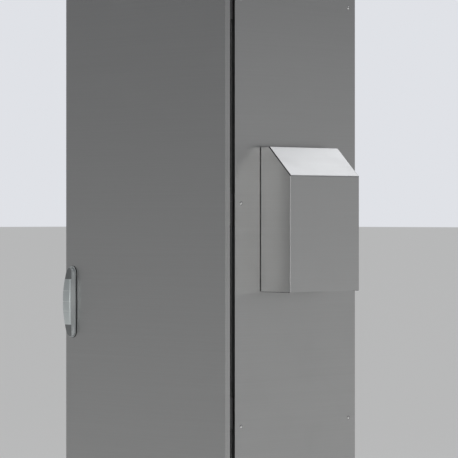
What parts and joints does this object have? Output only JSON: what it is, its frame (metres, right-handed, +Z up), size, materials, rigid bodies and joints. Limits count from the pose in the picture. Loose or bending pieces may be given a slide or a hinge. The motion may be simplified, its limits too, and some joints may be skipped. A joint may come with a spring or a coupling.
{
  "type": "automatic transfer switch",
  "caption": "Free-standing stainless-steel automatic transfer switch with hinged door, swing handle, vent hood and interlocked switches on a mounting plate.",
  "frame": {"origin": "on the floor under the middle of the cabinet's footprint, on the underside of the plinth's cross rail", "axes": "+Z up, -Y out of the door, +X towards the door's hinges and the hood"},
  "size_m": [0.7056, 0.524, 1.9],
  "materials": {
    "stainless_grained": "grained stainless steel",
    "galvanised_steel": "zinc-coated sheet",
    "handle_casting": "satin grey coated casting",
    "hinge_casting": "dull grey casting",
    "handle_grip": "pale grey-green moulded insert",
    "plinth_paint": "dark textured powder coat",
    "seal_foam": "foamed seal",
    "dark_moulding": "dark moulded plastic",
    "grey_moulding": "grey moulded plastic",
    "light_moulding": "light grey moulded plastic",
    "copper_bar": "bare copper bar",
    "filter_fleece": "loose filter fleece",
    "red_moulding": "red moulded plastic",
    "green_moulding": "green moulded plastic"
  },
  "bodies": {
    "cabinet": {"plinth": "plinth_paint", "base_frame": "galvanised_steel", "top_frame": "galvanised_steel", "upright_front_right": "galvanised_steel", "upright_front_left": "galvanised_steel", "upright_rear_right": "galvanised_steel", "upright_rear_left": "galvanised_steel", "side_panel_right": "stainless_grained", "side_panel_left": "stainless_grained", "rear_panel": "stainless_grained", "roof_plate": "stainless_grained", "gland_plate": "galvanised_steel", "gland_normal": "grey_moulding", "gland_load": "grey_moulding", "gland_emergency": "grey_moulding", "hinge_leaf_1": "hinge_casting", "hinge_leaf_2": "hinge_casting", "hinge_leaf_3": "hinge_casting", "hinge_leaf_4": "hinge_casting", "hood_shell": "stainless_grained", "hood_seal": "seal_foam", "hood_screen": "galvanised_steel", "fan_housing": "dark_moulding", "filter_mat": "filter_fleece", "mounting_plate": "galvanised_steel", "transfer_chassis": "galvanised_steel", "normal_switch_case": "dark_moulding", "normal_arc_cover": "grey_moulding", "emergency_switch_case": "dark_moulding", "emergency_arc_cover": "grey_moulding", "drive_case": "grey_moulding", "load_bar_1": "copper_bar", "load_bar_2": "copper_bar", "load_bar_3": "copper_bar", "controller_case": "light_moulding", "earth_bar": "copper_bar"},
    "door": {"door_panel": "stainless_grained", "door_gasket": "seal_foam", "door_stiffener_left": "galvanised_steel", "door_stiffener_right": "galvanised_steel", "document_pocket": "light_moulding", "hinge_arm_1": "hinge_casting", "hinge_arm_2": "hinge_casting", "hinge_arm_3": "hinge_casting", "hinge_arm_4": "hinge_casting", "handle_base": "handle_casting", "lock_gearbox": "galvanised_steel"},
    "turning_hub": {"handle_hub": "handle_casting"},
    "lever": {"handle_lever": "handle_casting", "handle_grip": "handle_grip"},
    "key_barrel": {"lock_barrel": "handle_casting"},
    "upper_rod": {"lock_rod_upper": "galvanised_steel"},
    "lower_rod": {"lock_rod_lower": "galvanised_steel"},
    "rotor": {"fan_rotor": "dark_moulding"},
    "transfer_shaft": {"drive_shaft": "galvanised_steel", "hand_lever": "red_moulding"},
    "normal_contacts": {"normal_contact_carrier": "red_moulding"},
    "emergency_contacts": {"emergency_contact_carrier": "red_moulding"},
    "test_push": {"test_button": "green_moulding"},
    "reset_push": {"reset_button": "red_moulding"}
  },
  "joints": [
    {"name": "door_swing", "type": "hinge", "parent": "cabinet", "child": "door", "pos_m": [0.2945, -0.226, 1], "axis": [0, 0, 1], "range_deg": [0, 120]},
    {"name": "handle_turn", "type": "hinge", "parent": "door", "child": "turning_hub", "pos_m": [-0.275, -0.258, 1.083], "axis": [0, -1, 0], "range_deg": [0, 90]},
    {"name": "lever_lift", "type": "hinge", "parent": "turning_hub", "child": "lever", "pos_m": [-0.275, -0.258, 1.093], "axis": [-1, 0, 0], "range_deg": [0, 25]},
    {"name": "key_turn", "type": "hinge", "parent": "door", "child": "key_barrel", "pos_m": [-0.275, -0.252, 0.9505], "axis": [0, -1, 0], "range_deg": [0, 90]},
    {"name": "upper_rod_slide", "type": "slide", "parent": "door", "child": "upper_rod", "axis": [0, 0, -1], "range_m": [0, 0.02]},
    {"name": "lower_rod_slide", "type": "slide", "parent": "door", "child": "lower_rod", "axis": [0, 0, 1], "range_m": [0, 0.02]},
    {"name": "fan_spin", "type": "hinge", "parent": "cabinet", "child": "rotor", "pos_m": [0.26, 0.0135, 1.234], "axis": [1, 0, 0], "continuous": true},
    {"name": "transfer_throw", "type": "hinge", "parent": "cabinet", "child": "transfer_shaft", "pos_m": [0, 0.0997, 1.12], "axis": [1, 0, 0], "range_deg": [-40, 40]},
    {"name": "normal_contact_slide", "type": "slide", "parent": "cabinet", "child": "normal_contacts", "axis": [0, 1, 0], "range_m": [-0.008, 0.008]},
    {"name": "emergency_contact_slide", "type": "slide", "parent": "cabinet", "child": "emergency_contacts", "axis": [0, -1, 0], "range_m": [-0.008, 0.008]},
    {"name": "test_press", "type": "slide", "parent": "cabinet", "child": "test_push", "axis": [0, 1, 0], "range_m": [0, 0.003], "stiffness_N_per_m": 300, "springref_m": -0.001},
    {"name": "reset_press", "type": "slide", "parent": "cabinet", "child": "reset_push", "axis": [0, 1, 0], "range_m": [0, 0.003], "stiffness_N_per_m": 300, "springref_m": -0.001}
  ],
  "couplings": [
    {"joint": "upper_rod_slide", "follows": "handle_turn", "m_per_rad": 0.01273},
    {"joint": "lower_rod_slide", "follows": "handle_turn", "m_per_rad": 0.01273},
    {"joint": "normal_contact_slide", "follows": "transfer_throw", "m_per_rad": 0.01145},
    {"joint": "emergency_contact_slide", "follows": "transfer_throw", "m_per_rad": 0.01145}
  ]
}
